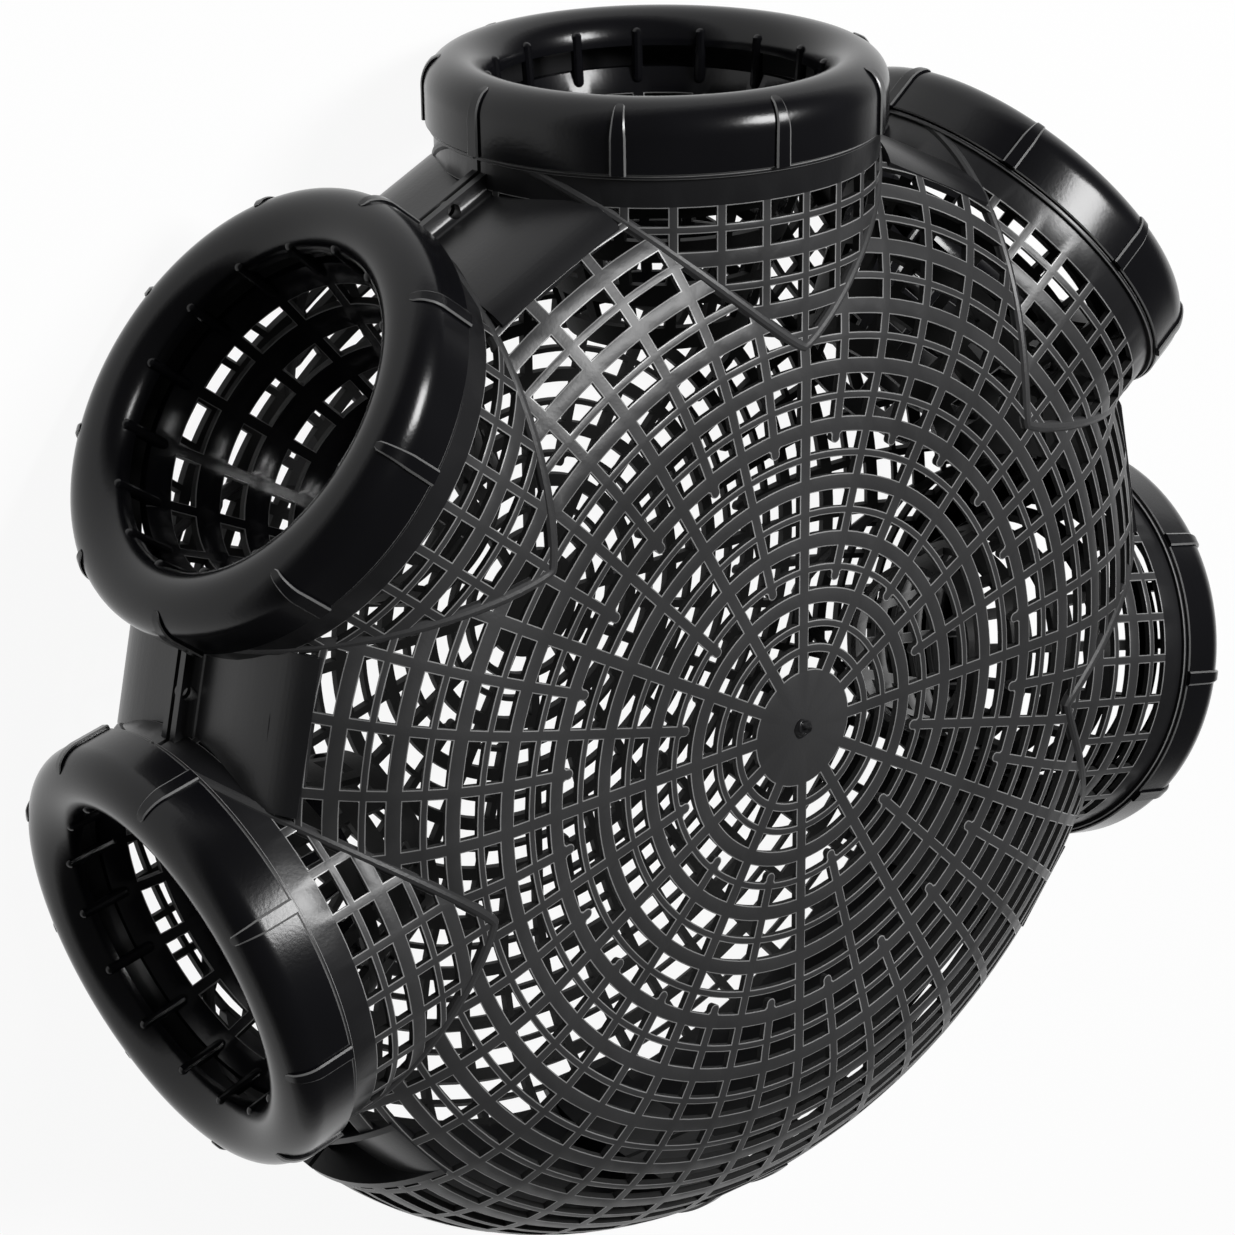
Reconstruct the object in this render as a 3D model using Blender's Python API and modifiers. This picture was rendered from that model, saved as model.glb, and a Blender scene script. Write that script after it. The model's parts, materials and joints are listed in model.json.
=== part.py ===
"""Mesh catch trap: a drum-shaped cage of two moulded half shells, with five round entrances.

The trap lies flat, its pole axis upright. Everything is built round the pole axis with the parting
plane at height 0, and the empty "trap_axis" then lifts it, so that its lowest ridges stand on Z = 0
and its box is centred on X = Y = 0. The middle entrance points along +X.
Units are metres and radians.
"""
from math import cos, pi, radians, sin, sqrt

import bmesh
import bpy
from mathutils import Matrix, Vector

MM = 0.001

# Body: a flat round face, and a quarter-round edge that runs from the face to the parting plane
FACE_RADIUS = 127.5 * MM
HALF_HEIGHT = 69.4 * MM              # parting plane to face, and so the radius of edge and necks
WALL = 2.2 * MM
PARTING_GAP = 0.3 * MM               # between the two half shells
CONTACT_GAP = 0.3 * MM               # between pieces that seat on each other
COLLAR_CLEARANCE = 0.6 * MM          # round a collar, to the body beside it

# Mesh of the body
HUB_RADIUS = 19.0 * MM               # solid disc at the pole
BAR_WIDTH = 3.9 * MM
RING_WIDTH = 4.7 * MM
RING_PITCH = 45.0 * MM
FIRST_RING = 43.4 * MM               # centre of the first ring, from the pole
RIM_WIDTH = 9.0 * MM                 # solid band at the parting plane
BAR_COUNTS = (12, 24, 24, 48)        # bars in each row of windows, from the pole, the last one on

# Entrances: neck tubes with their axes in the parting plane
MOUTH_POSITIONS = 7                  # equal places round the body
MOUTH_COUNT = 5                      # places that have an entrance, the others stay plain
NECK_BAR_COUNT = 12
NECK_ROW_PITCH = 25.0 * MM
NECK_RING_WIDTH = 3.0 * MM
NECK_BAND = 6.0 * MM                 # plain band behind the stop flange
STOP_FLANGE_WIDTH = 1.2 * MM
STOP_FLANGE_HEIGHT = 1.5 * MM        # above the neck's outside
NECK_END_ENGAGEMENT = 8.5 * MM       # length of the neck's plain end inside the collar
RIDGE_HEIGHT = 3.1 * MM              # raised rib along the line where neck and body meet

# Pads: plain wedges between the entrances, with a tie pocket open towards the face
PAD_WIDTH = 35.5 * MM
PAD_REACH = 49.5 * MM                # along the outside, from the parting plane
PAD_PROUD = 0.4 * MM                 # above the widest radius of the mesh
POCKET_WIDTH = 23.2 * MM
POCKET_DEPTH = 13.4 * MM             # from the widest radius of the body inwards
FLANGE_THICKNESS = 2.4 * MM          # floor of the pocket, at the parting plane
TIE_HOLE_RADIUS = 2.2 * MM

# Collars: a skirt over the neck's end, a thick rolled lip, and a funnel of flat bars
COLLAR_OVERHANG = 1.7 * MM           # collar's outside beyond the neck's outside
COLLAR_WALL = 2.2 * MM
COLLAR_DEPTH = 20.9 * MM             # skirt edge to the front of the lip
COLLAR_REACH = 6.2 * MM              # front of the lip beyond the body's widest radius
LIP_RADIUS = 10.0 * MM
SEAT_CLEARANCE = 0.4 * MM            # round the neck's end, inside the skirt
COLLAR_STEPS = 24                    # facets round a neck's end and its collar, which line up
FUNNEL_BAR_COUNT = 8
FUNNEL_BAR_WIDTH = 4.4 * MM
FUNNEL_WALL = 2.4 * MM
FUNNEL_LENGTH = 75.0 * MM
FUNNEL_END_RADIUS = 26.5 * MM
FUNNEL_HOOPS = 2
FUNNEL_HOOP_WIDTH = 8.5 * MM
FUNNEL_ROOT_INSET = 2.3 * MM         # funnel's wide end outside the throat's radius
LIP_END = radians(196)               # how far the lip rolls round, from straight outwards

# Facets of the round shapes
CORE_STEPS = 48
CORE_BENDS = 12
PAD_BENDS = 3
LIP_STEPS = 5
LIP_INSIDE_STEPS = 2
HOLE_STEPS = 8
RIDGE_SIDES = 6
RIDGE_STEPS = 4                      # on each side of the ridge's tip
RIDGE_END = radians(93)              # angle round the neck, a little past the parting plane

# Derived sizes
BODY_RADIUS = FACE_RADIUS + HALF_HEIGHT
NECK_RADIUS = HALF_HEIGHT
BODY_ARC = FACE_RADIUS + HALF_HEIGHT * pi / 2       # pole to parting plane, along the outside
MOUTH_STEP = 2 * pi / MOUTH_POSITIONS
COLLAR_RADIUS = NECK_RADIUS + COLLAR_OVERHANG
COLLAR_FRONT = BODY_RADIUS + COLLAR_REACH           # distances from the pole axis
SKIRT_EDGE = COLLAR_FRONT - COLLAR_DEPTH
FLANGE_FRONT = SKIRT_EDGE - CONTACT_GAP
NECK_END_RADIUS = COLLAR_RADIUS - COLLAR_WALL - SEAT_CLEARANCE
THROAT_RADIUS = COLLAR_RADIUS - 2 * LIP_RADIUS
OVERLAP = 0.4 * MM                                  # by which joined shapes run into each other
FAR = 2 * (COLLAR_FRONT + FACE_RADIUS)              # beyond everything
MERGE = 0.01 * MM                                   # points nearer than this become one

COLOURS = {"shell_black": (0.018, 0.018, 0.019), "collar_black": (0.012, 0.012, 0.013)}


# ---------------------------------------------------------------- small helpers

def clear_scene():
    for item in list(bpy.data.objects):
        bpy.data.objects.remove(item, do_unlink=True)


def new_collection(name):
    collection = bpy.data.collections.new(name)
    bpy.context.scene.collection.children.link(collection)
    return collection


def new_material(name, roughness):
    material = bpy.data.materials.new(name)
    material.use_nodes = True
    shader = material.node_tree.nodes["Principled BSDF"]
    shader.inputs["Base Color"].default_value = (*COLOURS[name], 1.0)
    shader.inputs["Roughness"].default_value = roughness
    shader.inputs["Metallic"].default_value = 0.0
    return material


def new_object(name, mesh):
    """A scratch object, which no render shows and which main removes at the end."""
    item = bpy.data.objects.new(name, mesh)
    item.hide_render = True
    item.display_type = 'WIRE'
    bpy.data.collections["tools"].objects.link(item)
    return item


def mesh_object(name, shape):
    mesh = bpy.data.meshes.new(name)
    bmesh.ops.recalc_face_normals(shape, faces=shape.faces)
    shape.to_mesh(mesh)
    shape.free()
    return new_object(name, mesh)


def bake(item):
    """Give an object the mesh that its modifiers make, in world space, and drop the modifiers."""
    graph = bpy.context.evaluated_depsgraph_get()
    graph.update()
    mesh = bpy.data.meshes.new_from_object(item.evaluated_get(graph))
    mesh.transform(item.matrix_world)
    baked = new_object(item.name, mesh)
    bpy.data.objects.remove(item, do_unlink=True)
    return baked


def solidify(item, thickness):
    """Thicken an open outer skin inwards."""
    shell = item.modifiers.new("wall", 'SOLIDIFY')
    shell.thickness = thickness
    shell.offset = -1.0
    shell.use_even_offset = True
    return bake(item)


def tidied(item):
    """Merge points that coincide, and turn all faces outwards."""
    shape = bmesh.new()
    shape.from_mesh(item.data)
    bmesh.ops.remove_doubles(shape, verts=shape.verts, dist=MERGE)
    bmesh.ops.recalc_face_normals(shape, faces=shape.faces)
    shape.to_mesh(item.data)
    shape.free()
    return item


def combine(item, other, operation, solver='EXACT'):
    """Join or cut one object with another, and remove the other."""
    step = item.modifiers.new(operation.lower(), 'BOOLEAN')
    step.operation = operation
    step.object = other
    step.solver = solver
    result = bake(item)
    bpy.data.objects.remove(other, do_unlink=True)
    return result


def place(item, matrix):
    item.data.transform(matrix)
    return item


def towards_mouth(azimuth):
    """Turns local +Z, an entrance's axis, to point outwards at an azimuth; local +X ends up down."""
    return Matrix.Rotation(azimuth, 4, 'Z') @ Matrix.Rotation(pi / 2, 4, 'Y')


def turned(name, outline, steps, ring=True):
    """A full turn about Z of (radius, height) points.

    The points are a closed ring, or a line that starts and ends on the axis.
    """
    points = [(radius, 0.0, height) for radius, height in outline]
    edges = [(i, i + 1) for i in range(len(points) - 1)]
    if ring:
        edges.append((len(points) - 1, 0))
    mesh = bpy.data.meshes.new(name)
    mesh.from_pydata(points, edges, [])
    item = new_object(name, mesh)
    screw = item.modifiers.new("turn", 'SCREW')
    screw.axis = 'Z'
    screw.steps = steps
    screw.render_steps = steps
    screw.use_merge_vertices = True
    screw.merge_threshold = MERGE
    return tidied(bake(item))


def cylinder(name, radius, low, high, steps):
    """A solid cylinder about Z between two heights."""
    shape = bmesh.new()
    bmesh.ops.create_cone(shape, cap_ends=True, segments=steps, radius1=radius, radius2=radius,
                          depth=high - low, matrix=Matrix.Translation((0, 0, (low + high) / 2)))
    return mesh_object(name, shape)


def box(name, low, high):
    shape = bmesh.new()
    size = Vector(high) - Vector(low)
    centre = (Vector(high) + Vector(low)) / 2
    matrix = Matrix.Translation(centre) @ Matrix.Diagonal((*size, 1.0))
    bmesh.ops.create_cube(shape, size=1.0, matrix=matrix)
    return mesh_object(name, shape)


# ---------------------------------------------------------------- mesh of bars and rings

def surface_point(profile, distance, azimuth, shift):
    """A point of a turned surface, shifted sideways from the meridian at an azimuth."""
    radius, height = profile(distance)
    return Matrix.Rotation(azimuth, 3, 'Z') @ Vector((sqrt(radius**2 - shift**2), shift, height))


def lattice(name, profile, edges, bands, bar_width, closed_hub=False):
    """A turned skin of bars and rings, with a window between each pair of them.

    edges are distances along the profile, and bands says what lies between each two: 0 for a solid
    ring, or the number of bars in a row of windows. Each number of bars divides the next one.
    """
    shape = bmesh.new()
    finest = max(bands)
    circles = []
    for index, distance in enumerate(edges):
        near = bands[max(index - 1, 0):index + 1]
        wider = bands[max(index - 2, 0):index + 2]
        step = finest // (max(near) or max(wider))
        circles.append({
            place: [shape.verts.new(surface_point(profile, distance, place * 2 * pi / finest,
                                                  side * bar_width / 2)) for side in (-1, 1)]
            for place in range(0, finest, step)})

    def chain(circle, first, last):
        corners = [circle[first][1]]
        for place in circle:
            if first < place < last:
                corners += circle[place]
        return corners + [circle[last % finest][0]]

    for band, inner, outer in zip(bands, circles, circles[1:]):
        shared = [place for place in inner if place in outer]
        for place in shared:
            shape.faces.new((*inner[place], *outer[place][::-1]))
        if band == 0:
            for first, last in zip(shared, shared[1:] + [finest]):
                shape.faces.new(chain(inner, first, last) + chain(outer, first, last)[::-1])
    if closed_hub:
        shape.faces.new([corner for sides in circles[0].values() for corner in sides])
    return mesh_object(name, shape)


# ---------------------------------------------------------------- half shell

def body_profile(distance):
    """Radius and height of the body's outside, at a distance from the pole along it."""
    if distance <= FACE_RADIUS:
        return distance, HALF_HEIGHT
    bend = (distance - FACE_RADIUS) / HALF_HEIGHT
    return FACE_RADIUS + HALF_HEIGHT * sin(bend), HALF_HEIGHT * cos(bend)


def edge_outline(inset, bends):
    """Points of the rounded edge set in by an inset, from the parting plane to the face."""
    radius = HALF_HEIGHT - inset
    angles = [pi / 2 * (1 - i / bends) for i in range(bends + 1)]
    return [(FACE_RADIUS + radius * sin(angle), radius * cos(angle)) for angle in angles]


def upper_half(item):
    """What is left of an object above the parting plane, less half the parting gap."""
    lower_half = box("lower_half", (-FAR, -FAR, -FAR), (FAR, FAR, PARTING_GAP / 2))
    return combine(item, lower_half, 'DIFFERENCE', 'MANIFOLD')


def body_skin():
    span = BODY_ARC - RIM_WIDTH - FIRST_RING
    ring_count = round(span / RING_PITCH)
    edges = [HUB_RADIUS]
    bands = [BAR_COUNTS[0]]
    for index in range(ring_count):
        centre = FIRST_RING + index * span / ring_count
        edges += [centre - RING_WIDTH / 2, centre + RING_WIDTH / 2]
        bands += [0, BAR_COUNTS[min(index + 1, len(BAR_COUNTS) - 1)]]
    edges += [BODY_ARC - RIM_WIDTH, BODY_ARC]
    bands += [0]
    skin = lattice("body_skin", body_profile, edges, bands, BAR_WIDTH, closed_hub=True)
    return solidify(skin, WALL)


def body_core():
    """The space inside the body's wall, a little short of it, in both halves."""
    upper = edge_outline(WALL + OVERLAP / 2, CORE_BENDS)
    lower = [(radius, -height) for radius, height in upper[:0:-1]]
    low, high = (0.0, lower[0][1]), (0.0, upper[-1][1])
    return turned("body_core", [low] + lower + upper + [high], CORE_STEPS, ring=False)


def crease_point(angle):
    """Where the neck at azimuth 0 meets the body, at an angle round the neck from its top."""
    return Vector((sqrt(FACE_RADIUS**2 + 2 * FACE_RADIUS * NECK_RADIUS * abs(sin(angle))),
                   NECK_RADIUS * sin(angle), NECK_RADIUS * cos(angle)))


def ridge(azimuth):
    """The raised rib along the crease, as a tube that runs past the parting plane at each end."""
    curve = bpy.data.curves.new("ridge", 'CURVE')
    curve.dimensions = '3D'
    curve.bevel_depth = RIDGE_HEIGHT / cos(pi / RIDGE_SIDES)
    curve.bevel_resolution = RIDGE_SIDES // 2 - 2
    curve.use_fill_caps = True
    spline = curve.splines.new('POLY')
    spline.points.add(2 * RIDGE_STEPS)
    for index, point in enumerate(spline.points):
        point.co = (*crease_point(RIDGE_END * (index / RIDGE_STEPS - 1)), 1.0)
    tube = tidied(bake(new_object("ridge", curve)))
    return place(tube, Matrix.Rotation(azimuth, 4, 'Z'))


def neck(core, azimuth):
    """An entrance's mesh tube with its plain band, stop flange and plain end, outside the body."""
    start = FACE_RADIUS - WALL
    band_start = FLANGE_FRONT - STOP_FLANGE_WIDTH - NECK_BAND
    rows = max(1, round((band_start - start) / NECK_ROW_PITCH))
    pitch = (band_start - start) / rows
    edges = [start]
    for index in range(1, rows):
        edges += [start + index * pitch, start + index * pitch + NECK_RING_WIDTH]
    edges += [band_start, FLANGE_FRONT - STOP_FLANGE_WIDTH / 2]
    tube = lattice("neck", lambda distance: (NECK_RADIUS, distance), edges,
                   [NECK_BAR_COUNT, 0] * rows, BAR_WIDTH)
    tube = solidify(tube, WALL)
    flange_back = FLANGE_FRONT - STOP_FLANGE_WIDTH
    outside = NECK_RADIUS + STOP_FLANGE_HEIGHT
    inside = NECK_END_RADIUS - WALL
    end = SKIRT_EDGE + NECK_END_ENGAGEMENT
    stop = turned("stop", [(NECK_END_RADIUS, end), (NECK_END_RADIUS, FLANGE_FRONT),
                           (outside, FLANGE_FRONT), (outside, flange_back),
                           (inside, flange_back), (inside, end)], COLLAR_STEPS)
    tube = upper_half(place(combine(tube, stop, 'UNION'), towards_mouth(azimuth)))
    copy = new_object("core_copy", core.data.copy())
    return combine(tube, copy, 'DIFFERENCE')


def pad(azimuth):
    """A plain wedge of the edge, closed behind the tie pocket."""
    top = (BODY_ARC - PAD_REACH - FACE_RADIUS) / HALF_HEIGHT
    outside = HALF_HEIGHT + PAD_PROUD
    inside = HALF_HEIGHT - WALL
    back = BODY_RADIUS - POCKET_DEPTH - WALL
    bends = [pi / 2 + (top - pi / 2) * i / PAD_BENDS for i in range(PAD_BENDS + 1)]
    outline = [(FACE_RADIUS + outside, -WALL)]
    outline += [(FACE_RADIUS + outside * sin(bend), outside * cos(bend)) for bend in bends]
    outline += [(FACE_RADIUS + inside * sin(top), inside * cos(top)),
                (back, inside * cos(top) - 2 * WALL), (back, -WALL)]
    shape = bmesh.new()
    for side in (-PAD_WIDTH / 2, PAD_WIDTH / 2):
        shape.faces.new([shape.verts.new((radius, side, height)) for radius, height in outline])
    bmesh.ops.bridge_loops(shape, edges=shape.edges)
    return place(mesh_object("pad", shape), Matrix.Rotation(azimuth, 4, 'Z'))


def pocket(azimuth):
    """The tie pocket's room above its floor, and the tie hole through the floor."""
    wall_radius = BODY_RADIUS - POCKET_DEPTH
    room = box("pocket", (wall_radius, -POCKET_WIDTH / 2, FLANGE_THICKNESS),
               (FAR, POCKET_WIDTH / 2, FAR))
    hole = cylinder("tie_hole", TIE_HOLE_RADIUS, -HALF_HEIGHT, HALF_HEIGHT / 2, HOLE_STEPS)
    place(hole, Matrix.Translation((BODY_RADIUS - POCKET_DEPTH / 2, 0, 0)))
    return place(combine(room, hole, 'UNION'), Matrix.Rotation(azimuth, 4, 'Z'))


def mouth_azimuths():
    first = -(MOUTH_COUNT - 1) / 2
    return [(first + index) * MOUTH_STEP for index in range(MOUTH_COUNT)]


def pad_azimuths():
    first = -MOUTH_COUNT / 2
    return [(first + index) * MOUTH_STEP for index in range(MOUTH_POSITIONS)]


def upper_shell():
    """The half above the parting plane, as one solid."""
    shell = body_skin()
    core = body_core()
    for azimuth in pad_azimuths():
        shell = combine(shell, pad(azimuth), 'UNION')
    # EXACT leaves the skin open where a ridge runs along its windows, and drops it at the necks.
    for azimuth in mouth_azimuths():
        passage = cylinder("passage", NECK_RADIUS - WALL / 2, FACE_RADIUS, FAR, COLLAR_STEPS)
        shell = combine(shell, place(passage, towards_mouth(azimuth)), 'DIFFERENCE', 'MANIFOLD')
        shell = combine(shell, ridge(azimuth), 'UNION', 'MANIFOLD')
    for azimuth in mouth_azimuths():
        clearance = cylinder("clearance", COLLAR_RADIUS + COLLAR_CLEARANCE,
                             SKIRT_EDGE - CONTACT_GAP, FAR, COLLAR_STEPS)
        shell = combine(shell, place(clearance, towards_mouth(azimuth)), 'DIFFERENCE', 'MANIFOLD')
    for azimuth in mouth_azimuths():
        shell = combine(shell, neck(core, azimuth), 'UNION', 'MANIFOLD')
    for azimuth in pad_azimuths():
        shell = combine(shell, pocket(azimuth), 'DIFFERENCE', 'MANIFOLD')
    bpy.data.objects.remove(core, do_unlink=True)
    return upper_half(shell)


# ---------------------------------------------------------------- entrance collar

def lip_arc(radius, first, last, steps):
    """Points round the lip's section, by angle from straight outwards towards the front."""
    centre = (COLLAR_RADIUS - LIP_RADIUS, COLLAR_DEPTH - LIP_RADIUS)
    angles = [first + (last - first) * i / steps for i in range(steps + 1)]
    return [(centre[0] + radius * cos(a), centre[1] + radius * sin(a)) for a in angles]


def collar_ring():
    """Skirt and rolled lip, open towards the neck. Height 0 is the skirt's edge."""
    outline = [(COLLAR_RADIUS, 0.0)]
    outline += lip_arc(LIP_RADIUS, 0.0, LIP_END, LIP_STEPS)
    outline += lip_arc(LIP_RADIUS - COLLAR_WALL, LIP_END, 0.0, LIP_INSIDE_STEPS)
    outline += [(COLLAR_RADIUS - COLLAR_WALL, 0.0)]
    return turned("collar_ring", outline, COLLAR_STEPS)


def funnel_profile(distance):
    """Outside radius and height of the funnel, at a distance along it from its wide end."""
    share = distance / FUNNEL_LENGTH
    wide = THROAT_RADIUS + FUNNEL_ROOT_INSET
    return wide + (FUNNEL_END_RADIUS - wide) * share, COLLAR_DEPTH - LIP_RADIUS - distance


def funnel():
    """Bars that start inside the lip's wall, and hoops, the last of them at the narrow end."""
    pitch = (FUNNEL_LENGTH - FUNNEL_HOOP_WIDTH) / FUNNEL_HOOPS
    edges = [0.0]
    for hoop in range(1, FUNNEL_HOOPS + 1):
        edges += [hoop * pitch, hoop * pitch + FUNNEL_HOOP_WIDTH]
    skin = lattice("funnel", funnel_profile, edges, [FUNNEL_BAR_COUNT, 0] * FUNNEL_HOOPS,
                   FUNNEL_BAR_WIDTH)
    return solidify(skin, FUNNEL_WALL)


def collar():
    return combine(collar_ring(), funnel(), 'UNION')


# ---------------------------------------------------------------- assembly

def finished(item, material):
    """An object's mesh with its material and its smooth and sharp edges."""
    mesh = item.data
    mesh.materials.clear()
    mesh.materials.append(material)
    mesh.shade_smooth()
    mesh.set_sharp_from_angle(angle=radians(30))
    return mesh


def add_part(name, mesh, parts, axis_empty, matrix):
    item = bpy.data.objects.new(name, mesh)
    item.matrix_basis = matrix
    item.parent = axis_empty
    parts.objects.link(item)


def main():
    clear_scene()
    parts = new_collection("mesh_trap")
    new_collection("tools")
    shell_black = new_material("shell_black", 0.42)
    collar_black = new_material("collar_black", 0.30)

    upper = finished(upper_shell(), shell_black)
    reach = max(vertex.co.z for vertex in upper.vertices)
    axis_empty = bpy.data.objects.new("trap_axis", None)
    axis_empty.location = ((BODY_RADIUS + PAD_PROUD - COLLAR_FRONT) / 2, 0.0,
                           max(reach, COLLAR_RADIUS))
    parts.objects.link(axis_empty)
    lower = upper.copy()
    lower.transform(Matrix.Diagonal((1.0, 1.0, -1.0, 1.0)))
    lower.flip_normals()
    add_part("front_shell", upper, parts, axis_empty, Matrix())
    add_part("back_shell", lower, parts, axis_empty, Matrix())

    collar_mesh = finished(collar(), collar_black)
    for index, azimuth in enumerate(mouth_azimuths()):
        seat = towards_mouth(azimuth) @ Matrix.Translation((0, 0, SKIRT_EDGE))
        add_part(f"entrance_collar_{index + 1}", collar_mesh, parts, axis_empty, seat)

    for scrap in list(bpy.data.collections["tools"].objects):
        bpy.data.objects.remove(scrap, do_unlink=True)


main()
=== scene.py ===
"""Looks of the mesh catch trap: fine moulded mesh, rolled-lip collars, and a plain white studio.

Everything is built in trap axes: the pole axis upright through the origin and the parting plane
at height 0. finish_piece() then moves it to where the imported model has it.
"""

import json
from bisect import bisect
from math import asin, atan2, cos, pi, radians, sin, sqrt

import bmesh
import bpy
from mathutils import Matrix, Vector


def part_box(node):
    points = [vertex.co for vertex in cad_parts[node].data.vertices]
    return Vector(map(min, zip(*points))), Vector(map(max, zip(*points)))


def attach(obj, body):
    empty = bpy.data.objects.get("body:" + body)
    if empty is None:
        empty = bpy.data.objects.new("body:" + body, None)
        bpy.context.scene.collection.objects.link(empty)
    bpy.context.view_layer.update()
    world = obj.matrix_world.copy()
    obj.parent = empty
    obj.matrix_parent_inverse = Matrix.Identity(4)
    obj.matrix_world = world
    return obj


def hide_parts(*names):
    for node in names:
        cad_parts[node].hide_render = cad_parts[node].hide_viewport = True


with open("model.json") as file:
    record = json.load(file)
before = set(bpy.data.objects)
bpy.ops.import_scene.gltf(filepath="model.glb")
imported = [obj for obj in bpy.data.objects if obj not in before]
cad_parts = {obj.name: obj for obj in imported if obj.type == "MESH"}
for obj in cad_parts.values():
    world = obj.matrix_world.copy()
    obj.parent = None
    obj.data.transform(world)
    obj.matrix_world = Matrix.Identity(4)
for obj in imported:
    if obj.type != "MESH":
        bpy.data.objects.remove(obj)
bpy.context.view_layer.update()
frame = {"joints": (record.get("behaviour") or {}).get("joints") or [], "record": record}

MM = 0.001

# Places and main sizes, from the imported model
MOUNTS = {mount["name"]: Vector(mount["pos_m"]) for mount in frame["record"]["mounts"]}
AXIS_POINT = (MOUNTS["underside"] + MOUNTS["upper_face"]) / 2        # where all the axes cross
HALF_HEIGHT = (MOUNTS["upper_face"] - MOUNTS["underside"]).z / 2     # parting plane to face
COLLAR_LOW, COLLAR_HIGH = (Vector(corner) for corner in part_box("entrance_collar_3"))
COLLAR_RADIUS = (COLLAR_HIGH.y - COLLAR_LOW.y) / 2
MOUTHS = [atan2(joint["axis"][1], joint["axis"][0]) for joint in frame["joints"]]
MOUTH_STEP = 2 * pi / 7

# Body
BODY_RADIUS = 196.9 * MM
FACE_RADIUS = 112.0 * MM            # of the flat face; the edge from there on is a quarter ellipse
EDGE_REACH = BODY_RADIUS - FACE_RADIUS
WALL = 2.4 * MM
PARTING_GAP = 1.8 * MM
COLUMNS = 144                       # facets round the body
POLE_CIRCLE = 1.5 * MM              # radius of the facet at the pole
PLAIN_END = 4.0 * MM                # a lattice goes on this far beyond its end rows
EDGE_START = 3.0 * MM               # the body's plain edge begins this far beyond its last row
EDGE_FACETS = 24                    # along the plain edge
PAST_PARTING = 0.5 * MM             # the plain edge goes on this far, and is cut at the gap
EDGE_STEPS = 400                    # for adding up the length of the elliptical edge
RIM_WIDTH = 0.34 * MM               # rim round every window, coloured light as a painted highlight
RIM_DEPTH = 0.12 * MM
TAPER = 0.35 * MM                   # windows are this much larger inside, all round

# Windows of the body, in pairs of rows along the outside from the pole
WINDOW_HEIGHT = 5.5 * MM
FIRST_ROW = 22.2 * MM
FIRST_PAIR = 34.4 * MM
PAIR_PITCH = 18.24 * MM
FRONT_PAIRS = 11                    # beyond the last pair the edge is plain
BACK_PAIRS = 9
ROW_OFFSET = 3.9 * MM               # each row of a pair from the pair's middle
MAIN_BAR_WIDTH = 4.1 * MM
BAR_WIDTH = 3.5 * MM
MAIN_BARS = 12
FINEST = 240                        # places round a lattice, for naming bars alike in every row
TIP_ROWS = {3: 24, 8: 48}           # row in which new bars begin, and the count from there on
TIP_REACH = 0.62                    # of the window's height
TIP_FILLET = 0.7 * MM
TIP_POINTS = 9
COLUMN_GAP = 1.2 * MM               # from a bar's edge to the next column of facets

# Necks
NECK_RADIUS = HALF_HEIGHT - 0.8 * MM
NECK_BARS = 30
NECK_BAR_WIDTH = 2.9 * MM
NECK_PAIR_PITCH = 18.24 * MM
NECK_LAST_PAIR = 165.2 * MM         # middle of the pair of rows nearest the collar
NECK_PAIRS = 4
STOP_FRONT = 181.9 * MM             # stop flange behind the collar
STOP_WIDTH = 1.2 * MM
STOP_HEIGHT = 1.5 * MM
STOP_CHAMFER = 0.3 * MM
SKIRT_EDGE = 182.2 * MM
NECK_END = SKIRT_EDGE + 8.5 * MM
NECK_END_RADIUS = COLLAR_RADIUS - 2.6 * MM
CREASE_TIP = 124.5 * MM             # where the crease of a neck comes to a point on the face
CREASE_POWER = 1.2                  # 1 makes straight sides at that point, more makes it rounder
CREASE_STEPS = 40                   # to each side of the point
CREST_RADIUS = 2.0 * MM             # rounded crest along the crease
CREST_SINK = 1.2 * MM
CREST_STEPS = 26                    # to each side of the point
CREST_REACH = radians(94)           # round the neck from its top
CREST_CROWDING = 1.3                # draws the steps towards the point

# Pads and their pockets
PAD_WIDTH = 32.0 * MM
PAD_PROUD = 0.25 * MM               # how far a walled pad stands out of the skin
NECK_GAP = 24.0 * MM                # half the widest room between two necks
POCKET_WIDTH = 26.0 * MM
POCKET_BACK = 183.4 * MM
POCKET_FOOT = 3.0 * MM              # radius at the foot of a pocket's back wall
POCKET_SWEEP = 20.0 * MM            # height from which the wall sweeps to the skin
POCKET_BEND = radians(47)           # of the skin, where the sweep ends
FLANGE_EDGE = 189.0 * MM            # of the flange under a pocket
FLANGE_TOP = 3.4 * MM
TIE_HOLE_RADIUS = 2.2 * MM
TIE_HOLE_PLACE = POCKET_BACK + 1.2 * TIE_HOLE_RADIUS
TIE_HOLE_REACH = 20.0 * MM
TIE_HOLE_STEPS = 24
PAD_STEP = radians(2.5)             # of the bend along a walled pad's outside
PAD_STEPS = 17
FOOT_STEPS = 6
SWEEP_STEPS = 16

# Collars
COLLAR_WALL = 2.2 * MM
COLLAR_DEPTH = 20.9 * MM
LIP_RADIUS = 10.0 * MM
LIP_END = radians(184)
LIP_STEPS = (30, 16)                # round the outside and the inside of its section
SKIRT_CHAMFER = 0.4 * MM
SEAT_GAP = 0.3 * MM                 # from the skirt's edge to the shells
SKIRT_ROOM = 0.6 * MM               # round the skirt
COLLAR_STEPS = 144
RIB_COUNT = 9
RIB_START = radians(14)
RIB_STEPS = 12
RIB_WIDTH = (5.0 * MM, 2.8 * MM)    # at the skirt's edge and at the rounded end
RIB_HEIGHT = 1.0 * MM
RIB_ROOT = 0.6 * MM                 # how deep a rib is rooted in the collar
RIB_FADE = radians(46)              # on the lip's section, from straight outwards
RIB_END = radians(62)
RIB_DROP = 0.7                      # share of the height that is lost from there to the end
RIB_TIP = 0.55                      # share of the width that is left at the very end
RIB_SHOULDER = 0.75                 # where the flanks turn in, as a share of height and of width
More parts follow.
